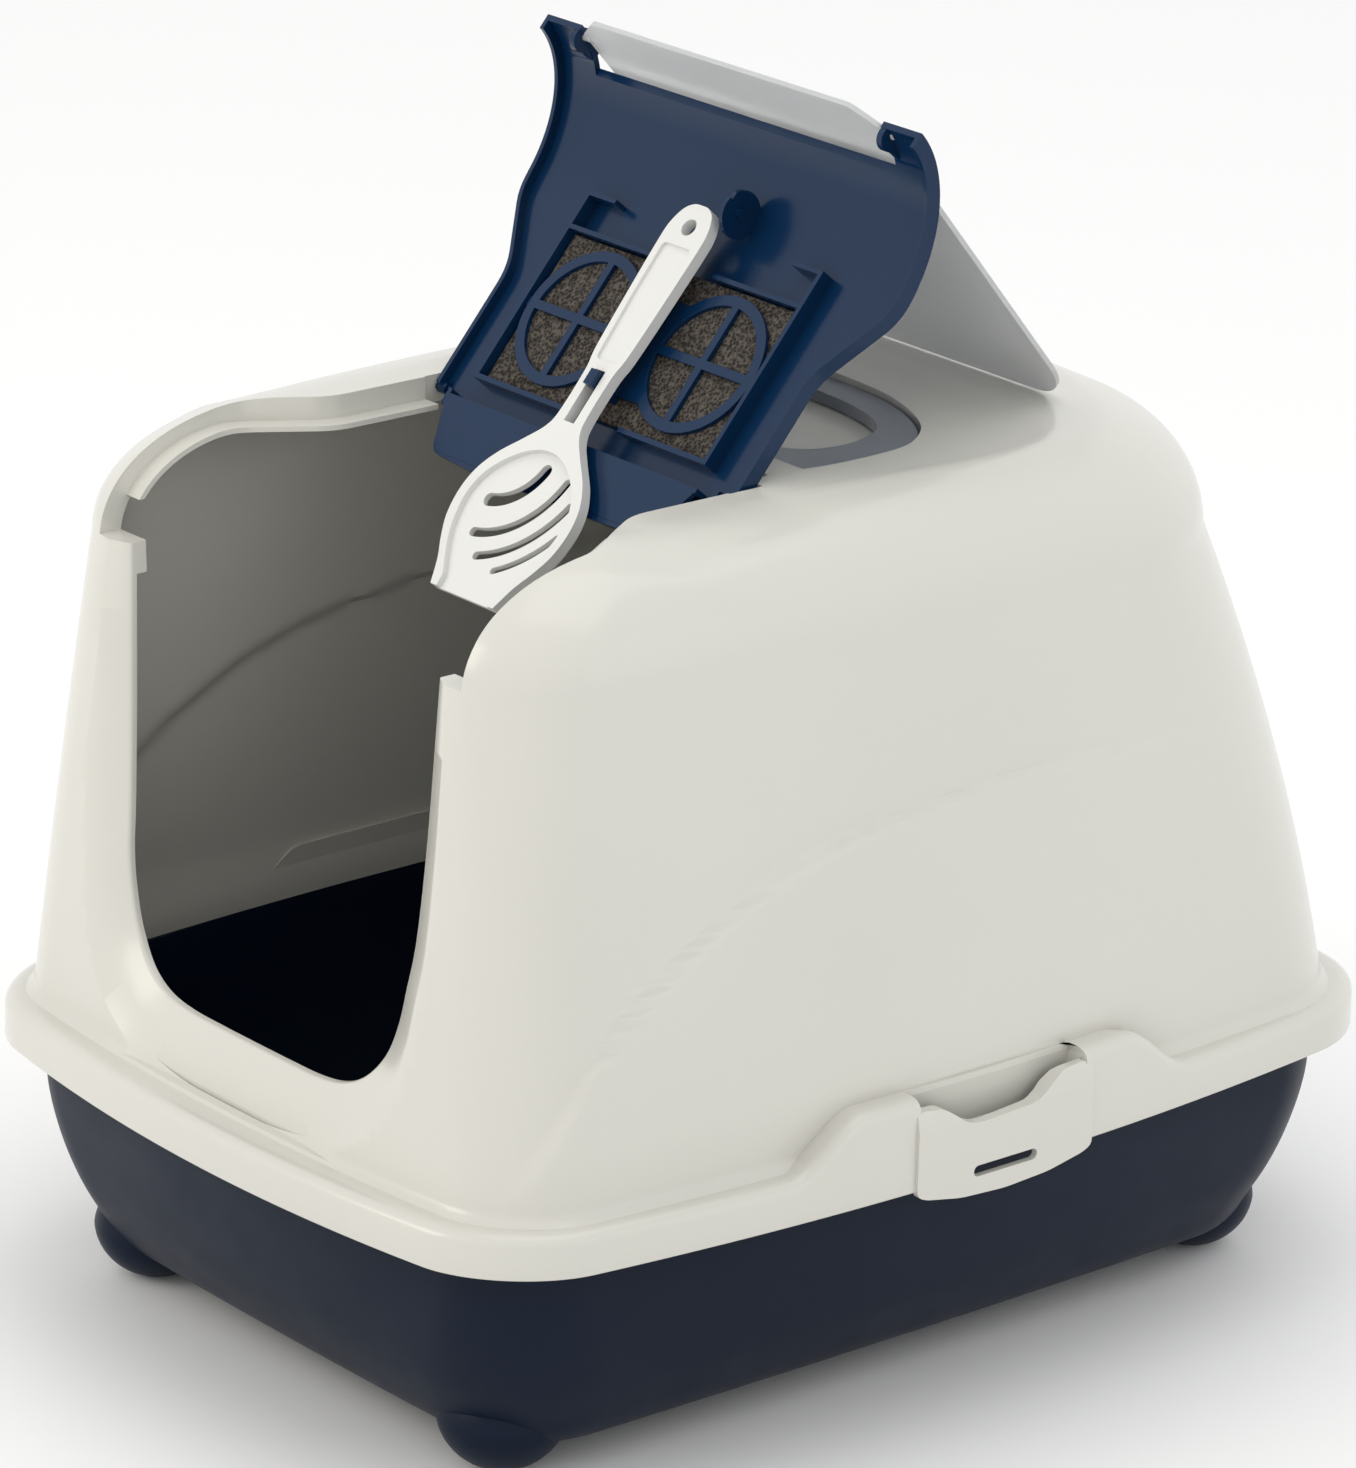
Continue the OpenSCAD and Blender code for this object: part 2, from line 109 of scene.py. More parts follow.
def moulded_plastic(name, colour, shade, roughness, gloss_coat, shine=0.5, grain=0.02):
    """Polished moulded plastic: two near colours in slow clouds, roughness that drifts a little,
    and a very fine flow texture in the surface."""
    finish = bpy.data.materials.new(name)
    finish.use_nodes = True
    nodes, links = finish.node_tree.nodes, finish.node_tree.links
    shader = nodes["Principled BSDF"]
    where = nodes.new("ShaderNodeTexCoord")
    clouds = nodes.new("ShaderNodeTexNoise")
    clouds.inputs["Scale"].default_value = 4.0
    clouds.inputs["Detail"].default_value = 3.0
    tint = nodes.new("ShaderNodeValToRGB")
    tint.color_ramp.elements[0].position, tint.color_ramp.elements[1].position = 0.35, 0.65
    tint.color_ramp.elements[0].color, tint.color_ramp.elements[1].color = (*colour, 1), (*shade, 1)
    wear = nodes.new("ShaderNodeTexNoise")
    wear.inputs["Scale"].default_value = 38.0
    wear.inputs["Detail"].default_value = 4.0
    spread = nodes.new("ShaderNodeMapRange")
    spread.inputs["To Min"].default_value = roughness * 0.85
    spread.inputs["To Max"].default_value = roughness * 1.2
    flow = nodes.new("ShaderNodeTexNoise")
    flow.inputs["Scale"].default_value = 420.0
    flow.inputs["Detail"].default_value = 2.0
    bump = nodes.new("ShaderNodeBump")
    bump.inputs["Strength"].default_value = grain
    bump.inputs["Distance"].default_value = 0.0006
    for texture in (clouds, wear, flow):
        links.new(where.outputs["Object"], texture.inputs["Vector"])
    links.new(clouds.outputs["Fac"], tint.inputs["Fac"])
    links.new(tint.outputs["Color"], shader.inputs["Base Color"])
    links.new(wear.outputs["Fac"], spread.inputs["Value"])
    links.new(spread.outputs["Result"], shader.inputs["Roughness"])
    links.new(flow.outputs["Fac"], bump.inputs["Height"])
    links.new(bump.outputs["Normal"], shader.inputs["Normal"])
    shader.inputs["Specular IOR Level"].default_value = shine
    shader.inputs["Coat Weight"].default_value = gloss_coat
    shader.inputs["Coat Roughness"].default_value = 0.12
    return finish


def loft(name, rows, finish, joined=False, capped=True, smooth=35):
    """A closed mesh through rows of points in millimetres: quads join each row to the next and each
    row's end to its start. The last row joins the first if `joined`; otherwise both ends are closed by
    a face if `capped`, or close by themselves because their points meet in pairs.
    Edges sharper than `smooth` degrees stay crisp."""
    grid = np.asarray(rows, float)
    count, columns = grid.shape[:2]
    r = np.arange(count if joined else count - 1)[:, None]
    c = np.arange(columns)[None, :]
    r2, c2 = (r + 1) % count, (c + 1) % columns
    quads = np.stack([r * columns + c, r * columns + c2, r2 * columns + c2, r2 * columns + c], -1)
    faces = quads.reshape(-1, 4).tolist()
    if capped and not joined:
        faces += [list(range(columns))[::-1], list(range((count - 1) * columns, count * columns))]
    mesh = bpy.data.meshes.new(name)
    mesh.from_pydata(grid.reshape(-1, 3) * 0.001, [], faces)
    piece = bpy.data.objects.new(name, mesh)
    bpy.context.scene.collection.objects.link(piece)
    return tidied(piece, finish, smooth)


def tidied(piece, finish, smooth=35):
    """Merges doubled points, turns faces outwards, sets shading and the finish."""
    edit = bmesh.new()
    edit.from_mesh(piece.data)
    bmesh.ops.remove_doubles(edit, verts=edit.verts, dist=2e-5)
    bmesh.ops.dissolve_degenerate(edit, edges=edit.edges, dist=1e-5)
    bmesh.ops.recalc_face_normals(edit, faces=edit.faces)
    edit.to_mesh(piece.data)
    edit.free()
    piece.data.shade_smooth()
    piece.data.set_sharp_from_angle(angle=math.radians(smooth))
    piece.data.materials.clear()
    piece.data.materials.append(finish)
    return piece


def prism(outline, low, high, axis=2):
    """Two rows that carry a flat outline from low to high along axis 0, 1 or 2; the outline's two
    numbers are the other two axes in order."""
    return [np.insert(np.asarray(outline, float), axis, level, axis=1) for level in (low, high)]


def combine(piece, steps, finish, smooth=35):
    """Adds to or cuts from a piece, in order, with the closed tools in `steps`, which are used up."""
    for how, tool in steps:
        change = piece.modifiers.new(how, "BOOLEAN")
        change.operation = how
        change.solver = "MANIFOLD"
        change.object = tool
    shaped = bpy.data.meshes.new_from_object(piece.evaluated_get(bpy.context.evaluated_depsgraph_get()))
    piece.modifiers.clear()
    piece.data = shaped
    for _, tool in steps:
        bpy.data.objects.remove(tool)
    return tidied(piece, finish, smooth)


def hood_section(z):
    """Half width, front, rear, front and rear corner radii and bow of the hood's outline at height z.
    The walls lean in on a slow curve; above 372 mm they turn over on a quarter ellipse."""
    z = np.minimum(z, DECK)
    up = np.clip(z, None, TURN) - FOOT
    share = np.clip(up / (TURN - FOOT), 0, 1)
    inset = 1 - np.sqrt(1 - np.clip((z - TURN) / (DECK - TURN), 0, 1) ** 2)
    half = 209.6 - 0.082 * up - 7.1e-5 * up ** 2 - 55 * inset
    front = -270.6 + 0.09 * up + 1.7e-5 * up ** 2 + 70 * inset
    rear = 271.6 - 0.136 * up - 3.3e-4 * up ** 2 - 48 * inset
    front_r = 43 + 5 * share - 23 * inset
    rear_r = 52 + 52 * share ** 1.5 - 34 * inset
    return half, front, rear, front_r, rear_r, 14.5 - 2.5 * share


def half_outline(z, along, half, front, rear, front_r, rear_r, bow):
    """Points on half of a bowed, rounded outline. `along` runs 0..1 over the front's straight,
    1..2 over the front corner, 2..3 up the side, 3..4 over the rear corner and 4..5 along the rear."""
    middle, deep = (front + rear) / 2, (rear - front) / 2
    part = np.clip(along, 0, 4.99999).astype(int)
    f = along - part
    turn = f * np.pi / 2
    x = np.choose(part, [f * (half - front_r), half - front_r + front_r * np.sin(turn), half + 0 * f,
                         half - rear_r + rear_r * np.cos(turn), (1 - f) * (half - rear_r)])
    y = np.choose(part, [-deep + 0 * f, -deep + front_r - front_r * np.cos(turn),
                         (front_r - deep) * (1 - f) + (deep - rear_r) * f,
                         deep - rear_r + rear_r * np.sin(turn), deep + 0 * f])
    return np.stack([x - bow * (x / half) * (y / deep) ** 2,
                     middle + y - bow * (y / deep) * (x / half) ** 2, z + 0 * x], -1)


def evenly(line, count):
    """`count` points evenly spaced along a line of points."""
    far = np.concatenate([[0], np.cumsum(np.linalg.norm(np.diff(line, axis=0), axis=1))])
    s = np.linspace(0, far[-1], count)
    return np.stack([np.interp(s, far, line[:, i]) for i in range(line.shape[1])], 1)


def through(knots, count):
    """A smooth curve (Catmull-Rom) through the knots, `count` points evenly spaced along it."""
    k = np.asarray(knots, float)
    k = np.vstack([2 * k[0] - k[1], k, 2 * k[-1] - k[-2]])
    t = np.linspace(0, 1, 24, endpoint=False)[:, None]
    fine = [0.5 * (2 * b + (c - a) * t + (2 * a - 5 * b + 4 * c - d) * t ** 2
                   + (3 * b - a - 3 * c + d) * t ** 3)
            for a, b, c, d in zip(k[:-3], k[1:-2], k[2:-1], k[3:])]
    return evenly(np.vstack(fine + [k[-2][None]]), count)


# The entrance's edge from the middle of the sill up one post, as far as the lid opening.
POST = through([(0, -254.5, 169.5), (26, -254.5, 169.6), (50, -254.5, 170.2), (68, -254, 173.2),
                (83, -252.5, 181), (94.5, -250, 194), (101.5, -248.5, 210), (106, -247, 230),
                (109, -244, 254), (112.2, -241, 301), (116, -238, 375)], 300)
POST_TOP = 375.0


def rounded(corners, radii, steps=6):
    """An open line whose inner corners are rounded by arcs (quadratic curves) starting `radius` away."""
    c = np.asarray(corners, float)
    t = np.linspace(0, 1, steps)[:, None]
    line = [c[:1]]
    for before, here, after, r in zip(c[:-2], c[1:-1], c[2:], radii):
        a = here + (before - here) / np.linalg.norm(before - here) * r
        b = here + (after - here) / np.linalg.norm(after - here) * r
        line.append(a * (1 - t) ** 2 + here * 2 * t * (1 - t) + b * t ** 2)
    return np.vstack(line + [c[-1:]])


def both_sides(half):
    """A closed line from its right half, which starts and ends on the middle plane or mirrors across it."""
    left = half[::-1] * np.array([-1.0] + [1.0] * (half.shape[1] - 1))
    return np.vstack([half, left])


def distance_to(line, points):
    """Shortest distance in a plane from each point to a line of points, as an array."""
    a, b = line[:-1], line[1:]
    run = b - a
    reach = points[..., None, :] - a
    share = np.clip((reach * run).sum(-1) / (run ** 2).sum(-1), 0, 1)
    return np.linalg.norm(reach - share[..., None] * run, axis=-1).min(-1)


def smooth_step(x, low, high):
    """0 below low, 1 above high, and an S-curve between."""
    t = np.clip((x - low) / (high - low), 0, 1)
    return t * t * (3 - 2 * t)


# The pressed line on each side: below it the panel stands a little proud. It dies out at both ends.
CREASE_Y = np.array([-262, -250, -215, -186, -159, -133, -107, -79, -52, -23, 22, 84, 128, 170])
CREASE_Z = np.array([128, 150, 208, 236, 254, 268, 278, 286, 290, 293, 296, 295, 292, 288])
PANEL_PROUD = 4.0
# Soft edges pressed in the deck: an outer one round the whole top and an inner one round the handle.
OUTER_RIDGE = through([(150, -175), (176, -120), (190, -60), (191, -5), (181, 37), (168, 82), (149, 113),
                       (111, 154), (77, 168), (48, 178), (0, 183)], 90)
INNER_RIDGE = through([(124, -110), (128, -60), (134, 0), (139, 50), (136, 90), (120, 112), (80, 126),
                       (0, 132)], 90)
HOOD_COLUMNS = 140


def pressed(skin):
    """Adds the pressed details to the hood's skin: the side panels below the crease, and the two
    soft ridges of the deck."""
    x, y, z = skin[..., 0], skin[..., 1], skin[..., 2]
    line = np.interp(y, CREASE_Y, CREASE_Z)
    slope = np.gradient(CREASE_Z, CREASE_Y)
    lean = 1 / np.hypot(1, np.interp(y, CREASE_Y, slope))
    fade = smooth_step(y, -262, -235) * (1 - smooth_step(y, 40, 150))
    panel = PANEL_PROUD * fade * (1 - smooth_step((z - line) * lean, -1.6, 1.6)) * smooth_step(z, 143, 175)
    plan = np.stack([np.abs(x), y], -1)
    top = z > 385
    rise = np.zeros_like(z)
    rise[top] = 0.9 * np.exp(-(distance_to(OUTER_RIDGE, plan[top]) / 7) ** 2)
    inner_ridge = 0.8 * np.exp(-(distance_to(INNER_RIDGE, plan[top]) / 4.5) ** 2)
    rise[top] += inner_ridge * smooth_step(y[top], -110, -60)
    moved = skin.copy()
    moved[..., 0] += np.sign(x) * panel
    moved[..., 2] += rise
    return moved


def hood_rows(inset, low, columns_half, fine):
    """Rows of the hood's skin, `inset` inside its outer face, from height low to the pole of the deck.
    Each row is the outline at one height; the deck is the top outline drawn in towards its middle.
    `fine` scales the number of rows."""
    along = np.concatenate([np.linspace(k, k + 1, columns_half // part)[:-1]
                            for k, part in enumerate((6, 5, 3, 5))] + [np.linspace(4, 5, columns_half // 6)])
    walls = np.concatenate([[low], np.linspace(FOOT - 0.6, FOOT + 6, 6),
                            np.linspace(FOOT + 8, TURN, int(108 * fine))])
    turn = np.radians(np.linspace(0, 90, int(26 * fine))[1:])
    rows = []
    for z in walls:
        half, front, rear, front_r, rear_r, bow = hood_section(z)
        flare = max(0.0, (FOOT + 6 - z) / 6) ** 2.2 * 4 if inset == 0 else 0.0
        e = inset - min(flare, 4)
        rows.append(half_outline(z, along, half - e, front + e, rear - e, front_r - e, rear_r - e, bow))
    for t in turn:
        c = 1 - math.cos(t)
        half, front, rear, front_r, rear_r, bow = hood_section(TURN)
        rise, e = DECK - TURN - inset, inset
        rows.append(half_outline(TURN + rise * math.sin(t), along, half - e - rise * c,
                                 front + e + (70 - e) * c, rear - e - (48 - e) * c,
                                 front_r - e - 20 * c, rear_r - e - 31 * c, bow))
    rim = rows[-1]
    middle = np.array([0, 0, rim[0, 2]])
    for share in np.linspace(1, 0, int(28 * fine))[1:]:
        rows.append(middle + (rim - middle) * share)
    skin = pressed(np.array(rows))
    return list(np.concatenate([skin, skin[:, ::-1][:, 1:-1] * np.array([-1.0, 1, 1])], 1))


def entrance_loop(out, forward):
    """The entrance's edge, both posts and the sill, moved `out` away from the opening and to depth
    `forward`, and carried straight up past the top."""
    heading = np.gradient(POST, axis=0)
    heading /= np.linalg.norm(heading[:, [0, 2]], axis=1, keepdims=True)
    edge = POST + np.stack([heading[:, 2], 0 * heading[:, 0], -heading[:, 0]], 1) * out
    edge[:, 1] += forward
    edge[0, 0] = 0
    top = edge[-1] * np.array([1, 1, 0]) + np.array([0, 0, 440])
    half = np.vstack([edge, top])
    return np.vstack([half, half[::-1][:-1] * np.array([-1.0, 1, 1])])


def entrance_tool(steps):
    """A closed tool through the entrance's edge loop at each (out, forward) step. Both ends are closed
    by straight lines across from post to post, so each end row is repeated on the middle plane."""
    rows = [entrance_loop(out, forward) for out, forward in steps]
    across = np.array([0, 1, 1])
    return loft("tool", [rows[0] * across] + rows + [rows[-1] * across], ivory, capped=False)


def seat_line(drop):
    """The lid's profile in (y, z), `drop` below its top: flat, then a quarter ellipse down the front,
    closed far below."""
    t = np.radians(np.linspace(0, 90, 40))
    curve = np.stack([-170 - (70 - drop) * np.sin(t), TURN + (52 - drop) * np.cos(t)], 1)
    return np.vstack([[(-20, 424 - drop)], curve, [(-240 + drop, 340), (-20, 340)]])


def opening_plan(grow, rear):
    """The lid opening in plan, both halves, grown by `grow`, its rear edge at `rear`."""
    half = rounded([(136 + grow, -330), (136 + grow, -167 + grow * 0.3), (111 + grow, -128 + grow * 0.3),
                    (111 + grow, rear + grow), (0, rear + grow)], [9, 9, 3])
    return both_sides(half)


def block(low, high, finish):
    """A plain rectangular cutting tool between two corners."""
    outline = [(low[0], low[1]), (high[0], low[1]), (high[0], high[1]), (low[0], high[1])]
    return loft("tool", prism(outline, low[2], high[2]), finish)


ivory = moulded_plastic("ivory_plastic", (0.64, 0.63, 0.575), (0.62, 0.61, 0.555), 0.24, 0.35)
HANDLE_OUTLINE = through([(102, -23), (104, -8), (104.5, 10), (103, 33), (97, 48), (83, 64), (62, 76),
                          (33, 85), (0, 88)], 60)
recess_edge = both_sides(HANDLE_OUTLINE + np.array([[1.0, 1.0]]))
inside = [loft("tool", hood_rows(0.05, 120, 90, 0.6), ivory) for _ in range(3)]
seat = loft("tool", prism(opening_plan(2.5, -53), 360, 440), ivory)
seat = combine(seat, [("DIFFERENCE", loft("tool", prism(seat_line(10.5), -150, 150, 0), ivory)),
                      ("DIFFERENCE", block((-200, -53, 350), (200, 7, 450), ivory)),
                      ("DIFFERENCE", block((-101, -80, 350), (101, -20, 450), ivory)),
                      ("INTERSECT", inside[0])], ivory)
frame_back = combine(entrance_tool([(SHELL, 3.5), (26 + SHELL, -12)]), [("INTERSECT", inside[1])], ivory)
tub_edge = both_sides(HANDLE_OUTLINE + np.array([[4.5, 3.5]]))
recess_tub = combine(loft("tool", prism(tub_edge, 415, 440), ivory), [("INTERSECT", inside[2])], ivory)
lid_opening = combine(loft("tool", prism(opening_plan(0, -53), POST_TOP, 455), ivory),
                      [("DIFFERENCE", loft("tool", prism(seat_line(8), -150, 150, 0), ivory))], ivory)
ledge_half = rounded([(126, -331), (126, -171), (101, -132), (101, -40), (0, -40)], [9, 9, 3])
ledge_hole = loft("tool", prism(both_sides(ledge_half), POST_TOP, 455), ivory)
BEVEL = [(0, 25), (0, 1.6), (0.3, 0.5), (1.2, -0.35), (14, -6.2), (26, -12.6), (52, -28)]
entrance = combine(entrance_tool(BEVEL),
                   [("DIFFERENCE", block((-300, -400, 0), (300, 0, 143.5), ivory))], ivory)

# The rim: an upside-down channel, its top rounded over to the shelf that meets the wall's foot. At the
# latches it rises in a shoulder, and its outer half is cut away in the gap that the latch fills.
RIM_PROFILE = [(121, 3), (121, 0.6), (121.4, 0.15), (122, 0), (129, 0), (136, 0), (138, 0.35), (139.6, 1.4),
               (140.9, 3), (141.7, 4.9), (142, 7)]
LATCH_MIDDLE, LATCH_GAP = 5.0, 54.5
SHOULDER = 23.5
flanks = [LATCH_MIDDLE + side * LATCH_GAP + nudge for side in (-1, 1) for nudge in (-0.05, 0.05)]
side_y = np.sort(np.concatenate([np.linspace(-239, 239, 150), flanks]))
rim_along = np.concatenate([np.linspace(0, 1, 30)[:-1], np.linspace(1, 2, 28)[:-1], 2 + (side_y + 239) / 478,
                            np.linspace(3, 4, 28)[1:], np.linspace(4, 5, 30)[1:]])
on_side = (rim_along >= 2) & (rim_along <= 3)
from_latch = np.where(on_side, np.abs((rim_along - 2) * 478 - 239 - LATCH_MIDDLE), 999)
raised = SHOULDER * (1 - smooth_step(from_latch, 86, 131))
in_gap = from_latch < LATCH_GAP


def rim_row(z, inset):
    """One line of the rim's section all round: height z plus the shoulder's rise, `inset` inside the
    rim's edge; in the latch gaps it is drawn in to the face behind the latch."""
    high = np.where(in_gap, max(z, 139), z) + (raised if z >= 136 else 0)
    inset = np.where(in_gap, np.maximum(inset, 12.5), inset)
    corner = np.maximum(51 - inset, 4)
    return half_outline(high, rim_along, 225 - inset, inset - 290, 290 - inset, corner, corner, 22)


def foot_row(share, top):
    """A line on the rim's shelf, `share` of the way from the rounded edge to just inside the wall."""
    high = (FOOT + raised) if top else np.full(len(rim_along), 139.0)
    half, front, rear, front_r, rear_r, bow = hood_section(high)
    wall = half_outline(high, rim_along, half - 1.5, front + 1.5, rear - 1.5, front_r, rear_r, bow)
    edge = rim_row(FOOT if top else 139, 7 if top else 3)
    return edge + (wall - edge) * share


rim_half = ([rim_row(z, inset) for z, inset in RIM_PROFILE] + [foot_row(t, True) for t in (0.3, 0.6, 1)]
            + [foot_row(1, False), foot_row(0, False)])
rim = loft("tool", [both_sides(row[1:-1]) for row in rim_half], ivory, joined=True)
shell_rows = hood_rows(SHELL, 139.2, HOOD_COLUMNS, 0.5)[::-1] + hood_rows(0, 139.2, HOOD_COLUMNS, 0.85)
hood = combine(loft("hood_shell", shell_rows, ivory, capped=False), [
    ("UNION", seat),
    ("UNION", frame_back),
    ("UNION", recess_tub),
    ("DIFFERENCE", lid_opening),
    ("DIFFERENCE", ledge_hole),
    ("DIFFERENCE", block((-136, -250, POST_TOP), (136, -222, 391), ivory)),
    ("DIFFERENCE", block((-101, -70, 400), (101, -53, 440), ivory)),
    ("DIFFERENCE", block((-112, -72.5, 405), (112, -53, 445), ivory)),
    ("DIFFERENCE", entrance),
    ("DIFFERENCE", loft("tool", prism(recess_edge, 417.5, 440), ivory)),
    ("DIFFERENCE", block((-22, 82, 417.5), (-14, 92.5, 440), ivory)),
], ivory)
joined = bmesh.new()
joined.from_mesh(hood.data)
joined.from_mesh(rim.data)
joined.to_mesh(hood.data)
joined.free()
hood.data.set_sharp_from_angle(angle=math.radians(35))
bpy.data.objects.remove(rim)
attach(hood, "base")
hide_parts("hood")

# ---- Tray ----
# A deep moulded tub in dark slate blue. Its walls curve in to a flat floor, its flange carries the
# hood's rim, and four hollow bowl-shaped feet are moulded in at the corners.
slate = moulded_plastic("slate_blue_plastic", (0.0035, 0.0095, 0.025), (0.003, 0.008, 0.0215),
                        0.42, 0.0, 0.15, 0.05)
TRAY_SIDE = through([(13, 73, 36), (16.5, 61, 42), (23, 52, 48), (34, 43.5, 56), (52, 33, 58), (74, 24.5, 54),
                     (98, 18.5, 47), (121, 15.5, 44), (136.5, 14.5, 44)], 60)
FLOOR_TOP = 16.0
tray_along = np.concatenate([np.linspace(k, k + 1, 22)[:-1] for k in range(5)] + [[5]])


def tray_row(z, inset, corner, bow):
    """The tray's outline at height z, `inset` inside the rim's edge."""
    return both_sides(half_outline(np.full(len(tray_along), float(z)), tray_along, 225 - inset, inset - 290,
                                   290 - inset, corner, corner, bow)[1:-1])


tray_bow = np.minimum(21, 2 + (TRAY_SIDE[:, 0] - 13) * 0.19)
outer = [tray_row(z, inset, corner, bow) for (z, inset, corner), bow in zip(TRAY_SIDE, tray_bow)]
inner = [tray_row(max(z, FLOOR_TOP), inset + SHELL, corner - SHELL, bow)
         for (z, inset, corner), bow in zip(TRAY_SIDE, tray_bow) if z > 15]
flange = [tray_row(136.4, 5.5, 47, 22), tray_row(138.4, 5.5, 47, 22), tray_row(139, 6.1, 46.4, 22),
          tray_row(139, 17, 42, 21)]


def floor_rows(row, steps):
    """Rows from the middle of a flat floor out towards its edge row."""
    middle = np.array([0, 0, row[0, 2]])
    return [middle + (row - middle) * t for t in np.linspace(0, 1, steps)[:-1]]


tray_rows = floor_rows(outer[0], 8) + outer + flange + inner[::-1] + floor_rows(inner[0], 8)[::-1]
tray = loft("tray_tub", tray_rows, slate, capped=False)
FOOT_BOWL = through([(0, 0), (6, 0), (12, 1.5), (18, 4.6), (23, 9), (27, 14.6), (29.4, 21), (29.8, 27),
                     (27, 34), (20, 39), (6, 41), (0, 41)], 40).clip(0)
around = np.linspace(0, 2 * np.pi, 64, endpoint=False)


def turned(profile, x, y):
    """A (radius, height) profile turned about the upright line through x, y."""
    return [np.stack([x + r * np.cos(around), y + r * np.sin(around), z + 0 * around], 1) for r, z in profile]


feet = [loft("tool", turned(FOOT_BOWL, x, y), slate) for x in (-134, 134) for y in (-212, 212)]
tray = combine(tray, [("UNION", foot) for foot in feet], slate)
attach(tray, "base")
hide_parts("tray")

# ---- Lid ----
# The front part of the roof, moulded in glossy navy. It lies in the hood's opening on two hinge pins
# and stands turned open, so its hollow side with the stiffening rims and filter seat shows.
navy = moulded_plastic("navy_plastic", (0.002, 0.022, 0.068), (0.0018, 0.019, 0.06), 0.2, 0.12, 0.22, 0.04)
HINGE_Y, HINGE_Z = -64.0, 421.0
LID_OPEN = 130.4
FLAP_Y, FLAP_Z = -237.0, 382.0


def turned_open(piece):
    """Turns a piece drawn with the lid closed to the lid's open place, about the hinge."""
    hinge = Matrix.Translation((0, HINGE_Y / 1000, HINGE_Z / 1000))
    piece.data.transform(hinge @ Matrix.Rotation(-math.radians(LID_OPEN), 4, "X") @ hinge.inverted())
    return piece


def soften(piece, width, steps=2):
    """Rounds a piece's crisp edges."""
    edges = piece.modifiers.new("soft_edges", "BEVEL")
    edges.width = width / 1000
    edges.segments = steps
    edges.limit_method = "ANGLE"
    edges.angle_limit = math.radians(38)
    edges.harden_normals = True
    return piece


def rod(x_low, x_high, y, z, radius, finish, sides=40):
    """A round bar along x."""
    turn = np.linspace(0, 2 * np.pi, sides, endpoint=False)
    circle = np.stack([y + radius * np.cos(turn), z + radius * np.sin(turn)], 1)
    return loft("tool", prism(circle, x_low, x_high, 0), finish)


def lid_plan(inward):
    """The lid's outline in plan, drawn in by `inward`."""
    half = rounded([(134 - inward, -330), (134 - inward, -167.5), (110 - inward, -128.5),
                    (110 - inward, HINGE_Y), (99 - inward, HINGE_Y), (99 - inward, -55), (0, -55)],
                   [9, 9, 1.5, 1.5, 2])
    return both_sides(half)


def lid_layer(plan_inset, top, under):
    """The part of the lid's plan between its profile `top` and `under` below the crown."""
    layer = loft("tool", prism(lid_plan(plan_inset), 376, 440), navy)
    return combine(layer, [("INTERSECT", loft("tool", prism(seat_line(top), -150, 150, 0), navy)),
                           ("DIFFERENCE", loft("tool", prism(seat_line(under), -150, 150, 0), navy))], navy)


rims = combine(lid_layer(0, 2.9, 7.7),
               [("DIFFERENCE", loft("tool", prism(lid_plan(2.5), 370, 445), navy))], navy)
TAIL = rounded([(92, -60), (90, -55), (80, -33), (76, -30.5), (53, -29), (0, -29)], [1, 3, 2, 2])
seat_walls = combine(block((-85, -176, 413), (85, -72, 421.5), navy), [
    ("DIFFERENCE", block((-82.6, -155.5, 400), (82.6, -74.5, 440), navy)),
    ("DIFFERENCE", block((-82.6, -173.8, 400), (82.6, -157.8, 421), navy)),
    ("DIFFERENCE", block((-64, -180, 400), (64, -160, 421), navy)),
    ("DIFFERENCE", block((-14, -176, 400), (22, -66, 421), navy))], navy)
additions = [("UNION", rims), ("UNION", seat_walls), ("UNION", rod(19.5, 22, -187, 408.5, 11.5, navy)),
             ("UNION", rod(18, 24, -187, 407, 2.6, navy)),
             ("UNION", block((-92, -60, 410.6), (92, -57.5, 422.6), navy)),
             ("UNION", loft("tool", prism(both_sides(TAIL), 410.6, 413), navy))]
for side in (-1, 1):
    near, far = sorted((side * 108.5, side * 112))
    additions += [("UNION", rod(*sorted((side * 104, side * 110)), HINGE_Y, HINGE_Z, 3, navy)),
                  ("UNION", rod(*sorted((side * 105, side * 114.5)), HINGE_Y, HINGE_Z, 2.2, navy)),
                  ("UNION", rod(near, far, FLAP_Y + 2.2, FLAP_Z, 6, navy)),
                  ("UNION", block((near, FLAP_Y - 3, FLAP_Z), (far, FLAP_Y + 6.5, FLAP_Z + 12), navy))]
lid = combine(lid_layer(0, 0, 3), additions + [
    ("DIFFERENCE", block((-108, -250, 340), (108, -190, 399), navy)),
    ("DIFFERENCE", rod(-113, 113, FLAP_Y, FLAP_Z, 2.4, navy)),
    ("DIFFERENCE", block((-82.6, -155.5, 409), (82.6, -74.5, 421), navy))], navy)
lid.name = "lid_shell"
turned_open(lid)
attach(lid, "lid")
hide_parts("lid")

# ---- Filter ----
# A replaceable pad of open-cell carbon foam. It lies in the lid's seat behind the grille.
PAD_LOW, PAD_HIGH, PAD_CORNER = np.array([-82.0, -155.0, 417.0]), np.array([82.0, -75.0, 421.0]), 0.8


